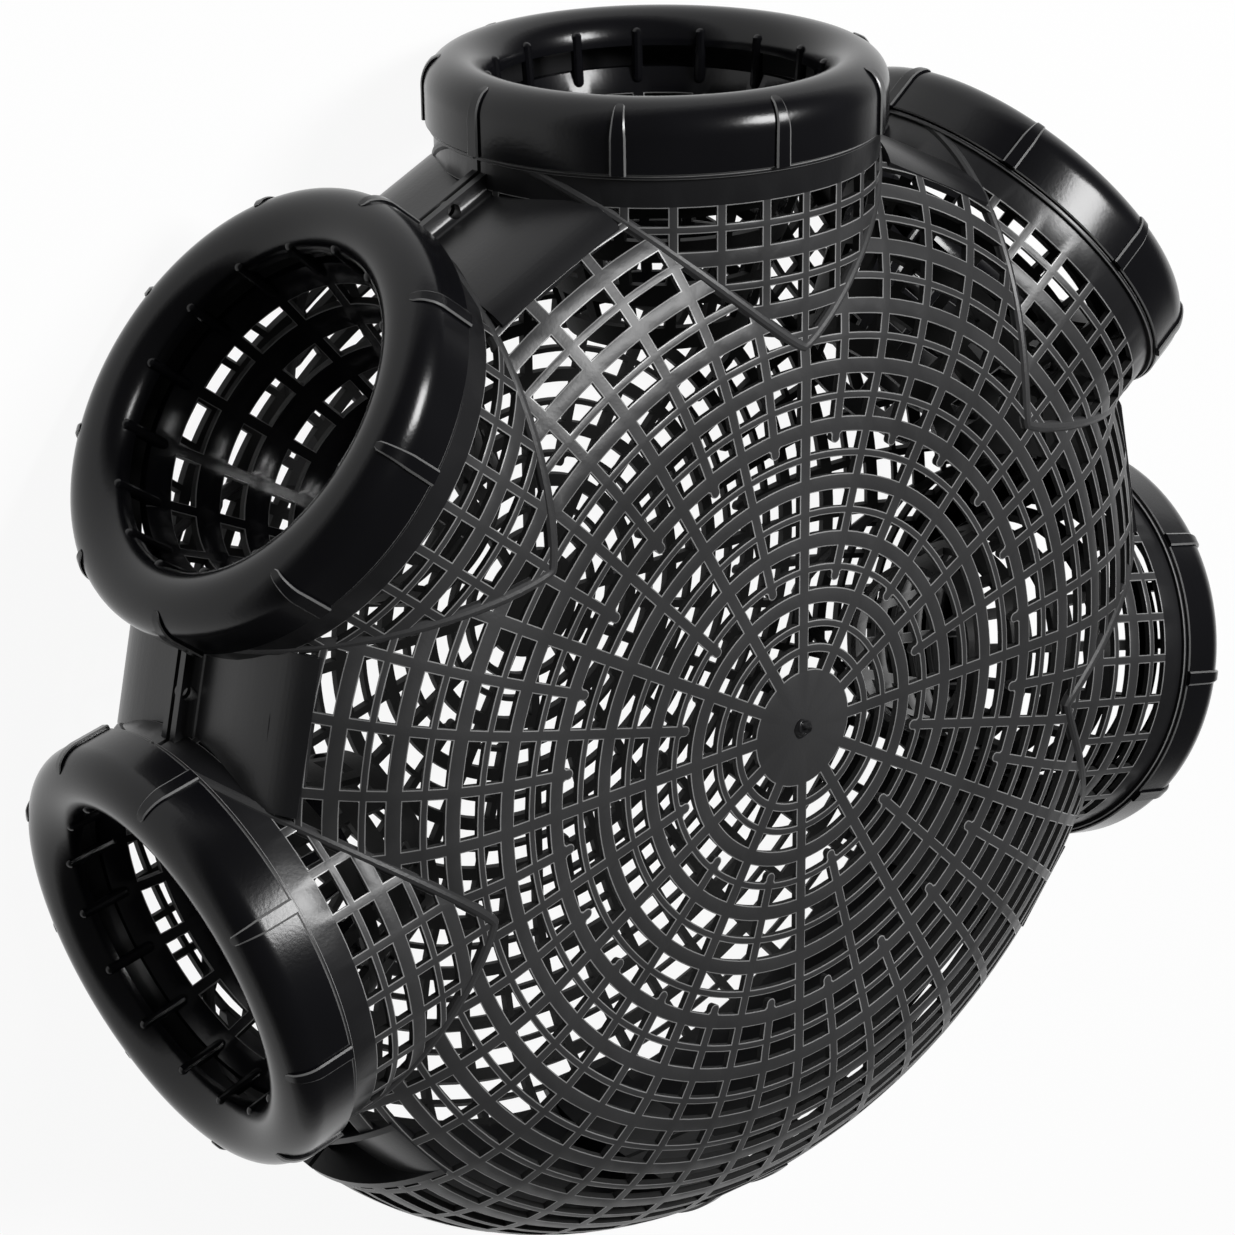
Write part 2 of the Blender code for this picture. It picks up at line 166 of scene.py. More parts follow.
FUNNEL_BARS = 16
FUNNEL_BAR_WIDTH = 4.0 * MM
FUNNEL_WALL = 2.4 * MM
FUNNEL_SLOPE = 0.3676               # radius lost per length
FUNNEL_END = -66.0 * MM             # height of the narrow end, below the skirt's edge
FUNNEL_END_RADIUS = 26.3 * MM       # inside
HOOP_HEIGHT = 8.0 * MM
HOOP_PITCH = 15.3 * MM
HOOPS = 5
FINGER_RADIUS = 1.9 * MM
FINGER_ENDS = ((51.0, 0.0), (52.1, 14.0))    # (radius, height) in mm, from the top hoop to the lip
COLLAR_TURNS = (120, 115.5, 237, 89.5, 118)  # degrees, each collar on its neck

# Modelling
FINISHES = 4                        # mesh face, edges coloured light as a painted highlight, inside faces (on the shells dark as painted shade), smooth parts
GATE_RADIUS = 3.6 * MM
GATE_LOBE = 0.15                    # unevenness of its outline
GATE_SWIRL = 7.0                    # radians that its swirl winds from the middle to the rim
GATE_HEIGHT = (0.2, 0.45)           # lowest, and what the swirl adds, as shares of its radius
FAR = 0.5                           # beyond everything
CUT_FOOT = -5.0 * MM                # lower end of the upright shapes that cut a half shell
MERGE = 0.005 * MM
OVERLAP = 0.1 * MM
SHARP_ANGLE = radians(28)

# Camera and light
CAMERA_AZIMUTH = radians(56.853)
CAMERA_ELEVATION = radians(45.838)
CAMERA_ROLL = radians(114.48)
CAMERA_DISTANCE = 1103.5 * MM
CAMERA_AIM = AXIS_POINT + Vector((20.45 * MM, 17.68 * MM, 0.0))
LENS = 99.97
SENSOR = 36.0
HORIZON = (0.05, 0.3)               # heights between which the light from around falls off
HORIZON_LIGHT = 0.5
OVERHEAD_LIGHT = 0.08
STAGE_TONE = 0.9
STAGE_GLOW = 0.93                   # share of the floor's white that no shadow can darken

# Plastic
WEAR_SCALE = 18.0                   # broad unevenness of tone and gloss, per metre
WEAR_SPAN = (0.3, 0.75)             # of the noise, from the darkest to the lightest tone
WEAR_TONE = (0.75, 1.3)
WEAR_GLOSS = (0.82, 1.2)
GRAIN_SCALE = 900.0
GRAIN_HEIGHT = 0.2 * MM


# ---------------------------------------------------------------- helpers

def new_object(name, mesh):
    item = bpy.data.objects.new(name, mesh)
    bpy.context.scene.collection.objects.link(item)
    return item


def mesh_object(name, shape):
    mesh = bpy.data.meshes.new(name)
    bmesh.ops.recalc_face_normals(shape, faces=shape.faces)
    shape.to_mesh(mesh)
    shape.free()
    add_finishes(mesh)
    return new_object(name, mesh)


def add_finishes(mesh):
    """Empty material slots, which the cuts and joins of meshes keep apart."""
    for _ in range(FINISHES):
        mesh.materials.append(None)


def bake(item):
    """Give an object the mesh that its modifiers make, and drop the modifiers."""
    graph = bpy.context.evaluated_depsgraph_get()
    graph.update()
    mesh = bpy.data.meshes.new_from_object(item.evaluated_get(graph))
    baked = new_object(item.name, mesh)
    bpy.data.objects.remove(item, do_unlink=True)
    return baked


def combine(item, other, operation):
    """Join or cut one object with another, and remove the other."""
    step = item.modifiers.new(operation.lower(), 'BOOLEAN')
    step.operation = operation
    step.object = other
    step.solver = 'MANIFOLD'
    result = bake(item)
    bpy.data.objects.remove(other, do_unlink=True)
    return result


def smooth_finish(item, low=-FAR):
    """Give the mesh faces above a height the finish of the smooth parts."""
    for polygon in item.data.polygons:
        if polygon.material_index == 0 and polygon.center.z > low:
            polygon.material_index = 3
    return item


def place(item, matrix):
    item.data.transform(matrix)
    return item


def towards_mouth(azimuth):
    """Turns local +Z, an entrance's axis, to point outwards at an azimuth; local +X ends up down."""
    return Matrix.Rotation(azimuth, 4, 'Z') @ Matrix.Rotation(pi / 2, 4, 'Y')


def turned(name, outline, steps, edges=()):
    """A full turn about Z of a closed ring of (radius, height) points.

    edges lists the points whose next stretch of the outline takes the edge finish, a light grey as a
    painted highlight.
    """
    shape = bmesh.new()
    circles = []
    for step in range(steps):
        turn = Matrix.Rotation(2 * pi * step / steps, 3, 'Z')
        circles.append([shape.verts.new(turn @ Vector((r, 0, z))) for r, z in outline])
    for circle, following in zip(circles, circles[1:] + circles[:1]):
        for i in range(len(outline)):
            j = (i + 1) % len(outline)
            face = shape.faces.new((circle[i], circle[j], following[j], following[i]))
            face.material_index = 1 if i in edges else 0
    return mesh_object(name, shape)


def cylinder(name, radius, low, high, steps):
    shape = bmesh.new()
    bmesh.ops.create_cone(shape, cap_ends=True, segments=steps, radius1=radius, radius2=radius,
                          depth=high - low, matrix=Matrix.Translation((0, 0, (low + high) / 2)))
    return mesh_object(name, shape)


def box(name, low, high):
    shape = bmesh.new()
    size = Vector(high) - Vector(low)
    matrix = Matrix.Translation((Vector(high) + Vector(low)) / 2) @ Matrix.Diagonal((*size, 1.0))
    bmesh.ops.create_cube(shape, size=1.0, matrix=matrix)
    return mesh_object(name, shape)


def column(name, outline, low, high):
    """An upright prism on an outline of (x, y) points."""
    shape = bmesh.new()
    for height in (low, high):
        shape.faces.new([shape.verts.new((x, y, height)) for x, y in outline])
    bmesh.ops.bridge_loops(shape, edges=shape.edges)
    return mesh_object(name, shape)


def prism(name, outline, half_width):
    """An outline of (radius, height) points, as wide as a half-width to each side of y = 0."""
    shape = bmesh.new()
    for side in (-half_width, half_width):
        shape.faces.new([shape.verts.new((radius, side, height)) for radius, height in outline])
    bmesh.ops.bridge_loops(shape, edges=shape.edges)
    return mesh_object(name, shape)


# ---------------------------------------------------------------- mesh of bars and rings

def circle_knots(radius, count, widths, margin=0.0):
    """Points round a circle, by angle: both edges of every bar, and facet columns between bars.

    margin widens the odd bars, which are the ones that begin in the row before the circle.
    """
    knots = []
    bars = []
    for bar in range(count):
        name = bar * (FINEST // count)
        half = asin((bar_width(bar, count, widths) / 2 + (margin if bar % 2 else 0.0)) / radius)
        angle = 2 * pi * bar / count
        knots += [((name, -1), angle - half), ((name, 1), angle + half)]
        bars.append((angle, half))
    for number in range(COLUMNS):
        angle = 2 * pi * number / COLUMNS
        if count:
            centre, half = bars[round(angle / (2 * pi) * count) % count]
            away = abs((angle - centre + pi) % (2 * pi) - pi)
        if not count or away > half + COLUMN_GAP / radius:
            knots.append((("column", number), angle))
    return sorted(knots, key=lambda knot: knot[1])


def bar_width(bar, count, widths):
    """Main bars and the bars between them have their own widths."""
    return widths[0] if bar % max(1, count // MAIN_BARS) == 0 else widths[1]


def lattice(name, section, rows, start, end, widths, wall, inside=False, closed=False):
    """A turned wall with rows of windows between bars.

    section gives (radius, height) at a distance along the wall and a depth below its outside.
    Each row is (first, last, bars, bars that begin in it or None). Layers of the same faces lie
    at three depths; between them the windows' sides slope: a light rim at the outside (or at the
    inside), which takes the edge finish, a painted highlight, and the taper to the other side, which
    takes the inside finish like the hidden side's faces; on the shells that finish is painted shade.
    """
    distances = [start] + [edge for row in rows for edge in row[:2]] + [end]
    ends = (0, len(distances) - 1)
    depths = [(0.0, RIM_WIDTH), (RIM_DEPTH, 0.0), (wall, TAPER)]
    if inside:
        depths = [(wall - depth, growth) for depth, growth in depths[::-1]]
    shape = bmesh.new()
    layers = [{}, {}, {}]

    def add_point(layer, key, distance, angle, depth):
        radius, height = section(distance, depth)
        layers[layer][key] = shape.verts.new((radius * cos(angle), radius * sin(angle), height))

    # A circle of points at each end and at both edges of each row. Windows grow from layer to layer.
    circles = []
    for index, distance in enumerate(distances):
        row = rows[min(max(index - 1, 0) // 2, len(rows) - 1)]
        side = 0 if index in ends else (-1 if index % 2 else 1)
        begins = row[3] if side == 1 else None
        count = 0 if closed and index == 0 else begins or row[2]
        radius = section(distance, 0.0)[0]
        knots = circle_knots(radius, count, widths, TIP_FILLET if begins else 0.0)
        circles.append([key for key, angle in knots])
        for layer, (depth, growth) in enumerate(depths):
            for key, angle in knots:
                if side and key[0] != "column":
                    angle -= key[1] * growth / radius
                add_point(layer, (index, key), distance + side * growth, angle, depth)

    # Loops of points round each face of a layer: rings between the rows, bars across them.
    loops = []
    for index in range(1, len(distances)):
        low, high = circles[index - 1], circles[index]
        if index % 2:
            shared = [key for key in low if key in set(high)]
            for first, last in zip(shared, shared[1:] + shared[:1]):
                loops.append([(index - 1, key) for key in run(low, first, last)]
                             + [(index, key) for key in run(high, first, last)][::-1])
            continue
        row = rows[index // 2 - 1]
        for bar in range(row[2]):
            spot = bar * (FINEST // row[2])
            loops.append([(index - 1, (spot, -1)), (index - 1, (spot, 1)),
                          (index, (spot, 1)), (index, (spot, -1))])
        for bar in range(1, row[3] or 0, 2):
            spot = bar * (FINEST // row[3])
            azimuth = 2 * pi * bar / row[3]
            for layer, (depth, growth) in enumerate(depths):
                for number, (distance, shift) in enumerate(tip_outline(row, widths[1], growth)):
                    angle = azimuth + asin(shift / section(distance, 0.0)[0])
                    add_point(layer, (index, (spot, "tip", number)), distance, angle, depth)
            keys = [(index, (spot, "tip", number)) for number in range(TIP_POINTS)]
            loops.append([(index, (spot, -1))] + keys + [(index, (spot, 1))])
    if closed:
        loops.append([(0, key) for key in circles[0]])

    # Faces outside and inside, and sides along every edge that only one loop uses.
    # The rims take finish 1, a painted highlight; the hidden faces and the tapers take finish 2, on the
    # shells painted shade.
    uses = {}
    for loop in loops:
        for edge in zip(loop, loop[1:] + loop[:1]):
            uses[frozenset(edge)] = uses.get(frozenset(edge), 0) + 1
    hidden = 0 if inside else 2
    for level in (0, 2):
        for loop in loops:
            face = shape.faces.new([layers[level][key] for key in loop])
            face.material_index = 2 if level == hidden else 0
    for edge, count in uses.items():
        if count == 1:
            first, last = edge
            for level in (0, 1):
                upper, lower = layers[level], layers[level + 1]
                face = shape.faces.new((upper[first], upper[last], lower[last], lower[first]))
                if not (first[0] in ends and last[0] in ends):
                    face.material_index = 2 if (level == 0) == inside else 1
    loose = [vertex for vertex in shape.verts if not vertex.link_faces]
    bmesh.ops.delete(shape, geom=loose, context='VERTS')
    return mesh_object(name, shape)


def run(circle, first, last):
    """The keys round a circle from one to another."""
    i, j = circle.index(first), circle.index(last)
    return circle[i:j + 1] if i < j else circle[i:] + circle[:j + 1]


def tip_outline(row, width, growth):
    """(distance, shift) points round the end of a bar that begins inside a window."""
    half = width / 2 - growth
    last = row[1] + growth
    top = row[1] - TIP_REACH * (row[1] - row[0]) + growth
    points = [(last - TIP_FILLET, -half)]
    for step in range(TIP_POINTS - 2):
        angle = pi * step / (TIP_POINTS - 3)
        points.append((top + half - half * sin(angle), -half * cos(angle)))
    return points + [(last - TIP_FILLET, half)]


# ---------------------------------------------------------------- shells

def body_section(distance, depth):
    """Radius and height of the body's wall, at a distance from the pole and a depth."""
    if distance <= FACE_RADIUS:
        return distance, HALF_HEIGHT - depth
    bend = edge_bend(distance - FACE_RADIUS)
    slope = Vector((HALF_HEIGHT * sin(bend), EDGE_REACH * cos(bend))).normalized()
    return (FACE_RADIUS + EDGE_REACH * sin(bend) - depth * slope.x,
            HALF_HEIGHT * cos(bend) - depth * slope.y)


def edge_lengths():
    """Lengths along the elliptical edge from the flat face, at equal steps of its bend."""
    lengths = [0.0]
    for step in range(EDGE_STEPS):
        middle = (step + 0.5) * pi / 2 / EDGE_STEPS
        speed = sqrt((EDGE_REACH * cos(middle)) ** 2 + (HALF_HEIGHT * sin(middle)) ** 2)
        lengths.append(lengths[-1] + speed * pi / 2 / EDGE_STEPS)
    return lengths


EDGE_LENGTHS = edge_lengths()
BODY_ARC = FACE_RADIUS + EDGE_LENGTHS[-1]


def edge_bend(length):
    """The bend at a length along the edge: 0 at the flat face, a quarter turn at the equator."""
    step = min(max(bisect(EDGE_LENGTHS, length), 1), EDGE_STEPS)
    low, high = EDGE_LENGTHS[step - 1], EDGE_LENGTHS[step]
    return (step - 1 + (length - low) / (high - low)) * pi / 2 / EDGE_STEPS


def body_rows(pairs):
    """All rows of windows of the body, with the number of bars in each."""
    middles = [FIRST_ROW]
    for pair in range(pairs):
        middle = FIRST_PAIR + pair * PAIR_PITCH
        middles += [middle - ROW_OFFSET, middle + ROW_OFFSET]
    rows = []
    bars = MAIN_BARS
    for index, middle in enumerate(middles):
        low, high = middle - WINDOW_HEIGHT / 2, middle + WINDOW_HEIGHT / 2
        rows.append((low, high, bars, TIP_ROWS.get(index)))
        bars = TIP_ROWS.get(index, bars)
    return rows


def body_skin(pairs):
    """The mesh of the body, and its plain edge down to the parting plane."""
    rows = body_rows(pairs)
    last = rows[-1][1]
    mesh = lattice("mesh", body_section, rows, POLE_CIRCLE, last + PLAIN_END,
                   (MAIN_BAR_WIDTH, BAR_WIDTH), WALL, closed=True)
    first = last + EDGE_START
    lengths = [first + (BODY_ARC + PAST_PARTING - first) * i / EDGE_FACETS
               for i in range(EDGE_FACETS + 1)]
    outline = [body_section(length, 0.0) for length in lengths]
    outline += [body_section(length, WALL) for length in lengths[::-1]]
    edge = smooth_finish(turned("edge", outline, COLUMNS))
    return combine(mesh, edge, 'UNION')


def upper_half(item):
    lower = box("lower_half", (-FAR, -FAR, -FAR), (FAR, FAR, PARTING_GAP / 2))
    return combine(item, lower, 'DIFFERENCE')


def crease_point(angle, sink):
    """Where the neck at azimuth 0 meets the body, at an angle round the neck from its top."""
    height = (NECK_RADIUS - sink) * cos(angle)
    across = (NECK_RADIUS - sink) * sin(angle)
    reach = CREASE_TIP + (BODY_RADIUS - sink - CREASE_TIP) * abs(sin(angle)) ** CREASE_POWER
    return Vector((sqrt(reach**2 - across**2), across, height))


def neck_ground(azimuth, reach):
    """Upright column over all of the neck's side of its crease, from a shift towards the pole."""
    points = [crease_point(pi / 2 * (i / CREASE_STEPS - 1), 0.0) for i in range(2 * CREASE_STEPS + 1)]
    outline = [(point.x - reach, point.y) for point in points]
    outline = [(FAR, outline[0][1])] + outline + [(FAR, outline[-1][1])]
    return place(column("neck_ground", outline, CUT_FOOT, FAR), Matrix.Rotation(azimuth, 4, 'Z'))


def crest(azimuth):
    """The rounded crest along a crease."""
    curve = bpy.data.curves.new("crest", 'CURVE')
    curve.dimensions = '3D'
    curve.bevel_depth = CREST_RADIUS
    curve.bevel_resolution = 4
    curve.use_fill_caps = True
    spline = curve.splines.new('POLY')
    spline.points.add(2 * CREST_STEPS)
    for index, point in enumerate(spline.points):
        share = index / CREST_STEPS - 1
        share = abs(share) ** CREST_CROWDING * (1 if share > 0 else -1)
        point.co = (*crease_point(CREST_REACH * share, CREST_SINK), 1.0)
    return place(welded(bake(new_object("crest", curve))), Matrix.Rotation(azimuth, 4, 'Z'))


def welded(tube):
    """A tube made from a curve, with its end caps joined on."""
    shape = bmesh.new()
    shape.from_mesh(tube.data)
    bmesh.ops.remove_doubles(shape, verts=shape.verts, dist=MERGE)
    bmesh.ops.recalc_face_normals(shape, faces=shape.faces)
    shape.to_mesh(tube.data)
    shape.free()
    add_finishes(tube.data)
    return tube


def neck_rows():
    rows = []
    for pair in range(NECK_PAIRS - 1, -1, -1):
        middle = NECK_LAST_PAIR - pair * NECK_PAIR_PITCH
        for offset in (-ROW_OFFSET, ROW_OFFSET):
            low = middle + offset - WINDOW_HEIGHT / 2
            rows.append((low, low + WINDOW_HEIGHT, NECK_BARS, None))
    return rows


def neck():
    """The neck at azimuth 0: mesh tube, stop flange and plain end, outside the body only."""
    rows = neck_rows()
    tube = lattice("neck", lambda distance, depth: (NECK_RADIUS - depth, distance), rows,
                   rows[0][0] - PLAIN_END, STOP_FRONT - STOP_WIDTH / 2,
                   (NECK_BAR_WIDTH, NECK_BAR_WIDTH), WALL)
    smooth_finish(tube, low=rows[-1][1])
    outside = NECK_RADIUS + STOP_HEIGHT
    inside = NECK_END_RADIUS - WALL
    back = STOP_FRONT - STOP_WIDTH
    chamfer = STOP_CHAMFER
    # The stop's two outer chamfers take the edge finish, coloured light as a painted highlight.
    stop = turned("stop", [(NECK_END_RADIUS, NECK_END), (NECK_END_RADIUS, STOP_FRONT),
                           (outside - chamfer, STOP_FRONT), (outside, STOP_FRONT - chamfer),
                           (outside, back + chamfer), (outside - chamfer, back),
                           (inside, back), (inside, NECK_END)], COLLAR_STEPS, edges=(2, 4))
    tube = upper_half(place(combine(tube, smooth_finish(stop), 'UNION'), towards_mouth(0.0)))
    body = cylinder("body", POCKET_BACK - WALL / 2, CUT_FOOT, FAR, COLUMNS)
    body = combine(body, neck_ground(0.0, OVERLAP), 'DIFFERENCE')
    return combine(tube, body, 'DIFFERENCE')


def pad(azimuth, half_width, walled):
    """The solid behind and under a pocket: back wall, flange, and side walls if it has them."""
    wall = pocket_wall()
    inside = [(radius - WALL, height - WALL / 2) for radius, height in wall]
    if walled:
        bends = [pi / 2 - PAD_STEP * i for i in range(PAD_STEPS + 1)]
        front = [(FACE_RADIUS + (EDGE_REACH + PAD_PROUD) * sin(bend),
                  (HALF_HEIGHT + PAD_PROUD) * cos(bend)) for bend in bends]
        front.insert(0, (front[0][0], -WALL))
    else:
        front = [(FLANGE_EDGE, -WALL), (FLANGE_EDGE, FLANGE_TOP)] + wall
    back = [point for point in inside if point[0] <= POCKET_BACK - WALL]
    outline = [(POCKET_BACK - WALL, -WALL)] + front + back[::-1]
    item = smooth_finish(prism("pad", outline, half_width))
    return place(item, Matrix.Rotation(azimuth, 4, 'Z'))


def pocket_wall():
    """A pocket's back wall from its flange upwards: rounded foot, upright, and a sweep to the skin."""
    points = []
    for step in range(FOOT_STEPS + 1):
        angle = pi / 2 * step / FOOT_STEPS
        points.append((POCKET_BACK + POCKET_FOOT * (1 - sin(angle)),
                       FLANGE_TOP + POCKET_FOOT * (1 - cos(angle))))
    first = Vector((POCKET_BACK, POCKET_SWEEP))
    last = Vector((FACE_RADIUS + (EDGE_REACH + PAD_PROUD) * sin(POCKET_BEND),
                   (HALF_HEIGHT + PAD_PROUD) * cos(POCKET_BEND)))
    slope = HALF_HEIGHT / EDGE_REACH * sin(POCKET_BEND) / cos(POCKET_BEND)
    bend = Vector((POCKET_BACK, last.y - (POCKET_BACK - last.x) * slope))
    for step in range(SWEEP_STEPS + 1):
        share = step / SWEEP_STEPS
        point = first * (1 - share) ** 2 + bend * 2 * share * (1 - share) + last * share**2
        points.append((point.x, point.y))
    return points


def pocket(azimuth, half_width):
    """The pocket's room, open outwards and upwards, and the tie hole in its flange."""
    wall = pocket_wall()
    outline = wall + [(wall[-1][0], FAR), (FAR, FAR), (FAR, FLANGE_TOP)]
    room = prism("pocket", outline, half_width)
    front = box("front", (FLANGE_EDGE, -half_width, -WALL), (FAR, half_width, FLANGE_TOP + WALL))
    hole = cylinder("tie_hole", TIE_HOLE_RADIUS, -TIE_HOLE_REACH, TIE_HOLE_REACH, TIE_HOLE_STEPS)
    place(hole, Matrix.Translation((TIE_HOLE_PLACE, 0, 0)))
    room = combine(combine(room, front, 'UNION'), hole, 'UNION')
    return place(smooth_finish(room), Matrix.Rotation(azimuth, 4, 'Z'))


def pads():
    """(azimuth, half width, pocket's half width, walled) of each of the seven pads."""
    places = []
    for index in range(7):
        position = index - 2.5
        between_necks = abs(position) < 2
        if between_necks:
            places.append((position * MOUTH_STEP, NECK_GAP, NECK_GAP, False))
        else:
            places.append((position * MOUTH_STEP, PAD_WIDTH / 2, POCKET_WIDTH / 2, True))
    return places


def gate_mark():
    """The small rough boss that the moulding gate leaves in the middle of the face."""
    shape = bmesh.new()
    bmesh.ops.create_icosphere(shape, subdivisions=4, radius=GATE_RADIUS)
    for vertex in shape.verts:
        turn = atan2(vertex.co.y, vertex.co.x)
        out = Vector((vertex.co.x, vertex.co.y)).length / GATE_RADIUS
        swirl = 0.5 + 0.5 * sin(2 * turn + GATE_SWIRL * out)
        vertex.co.x *= 1 - GATE_LOBE + GATE_LOBE * sin(3 * turn)
        vertex.co.z *= GATE_HEIGHT[0] + GATE_HEIGHT[1] * swirl
        vertex.co.z += HALF_HEIGHT
    return smooth_finish(mesh_object("gate_mark", shape))


def collar_room(azimuth):
    """The room that a collar needs round a neck's end."""
    room = cylinder("collar_room", COLLAR_RADIUS + SKIRT_ROOM, SKIRT_EDGE - SEAT_GAP, FAR, COLLAR_STEPS)
    return place(room, towards_mouth(azimuth))


def upper_shell(pairs):
    """A half shell above the parting plane, with so many pairs of rows of windows."""
    shell = body_skin(pairs)
    for azimuth, half_width, pocket_half, walled in pads():
        shell = combine(shell, pad(azimuth, half_width, walled), 'UNION')
    for azimuth in MOUTHS:
        passage = cylinder("passage", NECK_RADIUS - WALL / 2, FACE_RADIUS, FAR, COLLAR_STEPS)
        shell = combine(shell, place(passage, towards_mouth(azimuth)), 'DIFFERENCE')
        shell = combine(shell, neck_ground(azimuth, 0.0), 'DIFFERENCE')
    for azimuth, half_width, pocket_half, walled in pads():
        shell = combine(shell, pocket(azimuth, pocket_half), 'DIFFERENCE')
    for azimuth in MOUTHS:
        shell = combine(shell, collar_room(azimuth), 'DIFFERENCE')
    one_neck = neck()
    for azimuth in MOUTHS:
        copy = new_object("neck_copy", one_neck.data.copy())
        shell = combine(shell, place(copy, Matrix.Rotation(azimuth, 4, 'Z')), 'UNION')
        ridge = combine(crest(azimuth), collar_room(azimuth), 'DIFFERENCE')
        shell = combine(shell, ridge, 'UNION')
    bpy.data.objects.remove(one_neck, do_unlink=True)
    return upper_half(shell)


# ---------------------------------------------------------------- collars

def lip_arc(radius, first, last, steps):
    """Points round the lip's section, by angle from straight outwards towards the front."""
    centre = (COLLAR_RADIUS - LIP_RADIUS, COLLAR_DEPTH - LIP_RADIUS)
    angles = [first + (last - first) * i / steps for i in range(steps + 1)]
    return [(centre[0] + radius * cos(a), centre[1] + radius * sin(a)) for a in angles]


def collar_ring():
    """Skirt and rolled lip. Height 0 is the skirt's edge."""
    outline = [(COLLAR_RADIUS - SKIRT_CHAMFER, 0.0), (COLLAR_RADIUS, SKIRT_CHAMFER)]
    outline += lip_arc(LIP_RADIUS, 0.0, LIP_END, LIP_STEPS[0])
    outline += lip_arc(LIP_RADIUS - COLLAR_WALL, LIP_END, 0.0, LIP_STEPS[1])
    outline += [(COLLAR_RADIUS - COLLAR_WALL, 0.0)]
    # The skirt's chamfer takes the edge finish, coloured light as a painted highlight.
    return turned("collar_ring", outline, COLLAR_STEPS, edges=(0,))


def rib(turn):
    """A raised rib up the skirt and over the lip's shoulder."""
    path = [(COLLAR_RADIUS, 0.0, 0.0)]
    for i in range(RIB_STEPS + 1):
        angle = RIB_END * i / RIB_STEPS
        path.append((COLLAR_RADIUS - LIP_RADIUS * (1 - cos(angle)),
                     COLLAR_DEPTH - LIP_RADIUS + LIP_RADIUS * sin(angle), angle))
    shape = bmesh.new()
    sections = []
    for index, (radius, height, angle) in enumerate(path):
        share = index / (len(path) - 1)
        half = (RIB_WIDTH[0] + (RIB_WIDTH[1] - RIB_WIDTH[0]) * share) / 2
        if index == len(path) - 1:
            half *= RIB_TIP
        across = Vector((0, half, 0))
        outward = Vector((cos(angle), 0, sin(angle)))
        base = Vector((radius, 0, height)) - outward * RIB_ROOT
        fade = max(0.0, (angle - RIB_FADE) / (RIB_END - RIB_FADE))
        rise = RIB_ROOT + RIB_HEIGHT * (1 - RIB_DROP * fade)
        shoulder = base + outward * rise * RIB_SHOULDER
        top = base + outward * rise
        section = [base - across, shoulder - across, top - across * RIB_SHOULDER,
                   top + across * RIB_SHOULDER, shoulder + across, base + across]
        sections.append([shape.verts.new(point) for point in section])
    for low, high in zip(sections, sections[1:]):
        for i in range(6):
            j = (i + 1) % 6
            face = shape.faces.new((low[i], low[j], high[j], high[i]))
            # The rib's two upper chamfers take the edge finish, coloured light as a painted highlight.
            face.material_index = 1 if i in (1, 3) else 0
    shape.faces.new(sections[0])
    shape.faces.new(sections[-1])
    return place(mesh_object("rib", shape), Matrix.Rotation(turn, 4, 'Z'))


def funnel_section(distance, depth):
    """The funnel's wall, by distance along its axis from the narrow end, depth from the outside."""
    radius = FUNNEL_END_RADIUS + FUNNEL_WALL + FUNNEL_SLOPE * distance
    return radius - depth, FUNNEL_END + distance


def funnel():
    rows = []
    for hoop in range(HOOPS - 1):
        low = HOOP_HEIGHT + hoop * HOOP_PITCH
        rows.append((low, low + HOOP_PITCH - HOOP_HEIGHT, FUNNEL_BARS, None))
    return lattice("funnel", funnel_section, rows, 0.0, (HOOPS - 1) * HOOP_PITCH + HOOP_HEIGHT,
                   (FUNNEL_BAR_WIDTH, FUNNEL_BAR_WIDTH), FUNNEL_WALL, inside=True)


def finger(turn):
    """The round-ended start of a funnel bar, on the lip's inside."""
    start, end = (Vector((radius, 0, height)) * MM for radius, height in FINGER_ENDS)
    shape = bmesh.new()
    bmesh.ops.create_uvsphere(shape, u_segments=12, v_segments=8, radius=FINGER_RADIUS)
    length = (end - start).length
    for vertex in shape.verts:
        if vertex.co.z > 0:
            vertex.co.z += length
    turn_up = (end - start).to_track_quat('Z', 'Y').to_matrix().to_4x4()
    finger_object = mesh_object("finger", shape)
    place(finger_object, Matrix.Translation(start) @ turn_up)
    return place(finger_object, Matrix.Rotation(turn, 4, 'Z'))


def collar():
    ring = collar_ring()
    for index in range(RIB_COUNT):
        ring = combine(ring, rib(RIB_START + 2 * pi * index / RIB_COUNT), 'UNION')
    trim = box("trim", (-FAR, -FAR, -FAR), (FAR, FAR, 0.0))
    ring = combine(ring, trim, 'DIFFERENCE')
    net = funnel()
    for index in range(FUNNEL_BARS):
        net = combine(net, finger(2 * pi * index / FUNNEL_BARS), 'UNION')
    return combine(ring, net, 'UNION')


# ---------------------------------------------------------------- materials

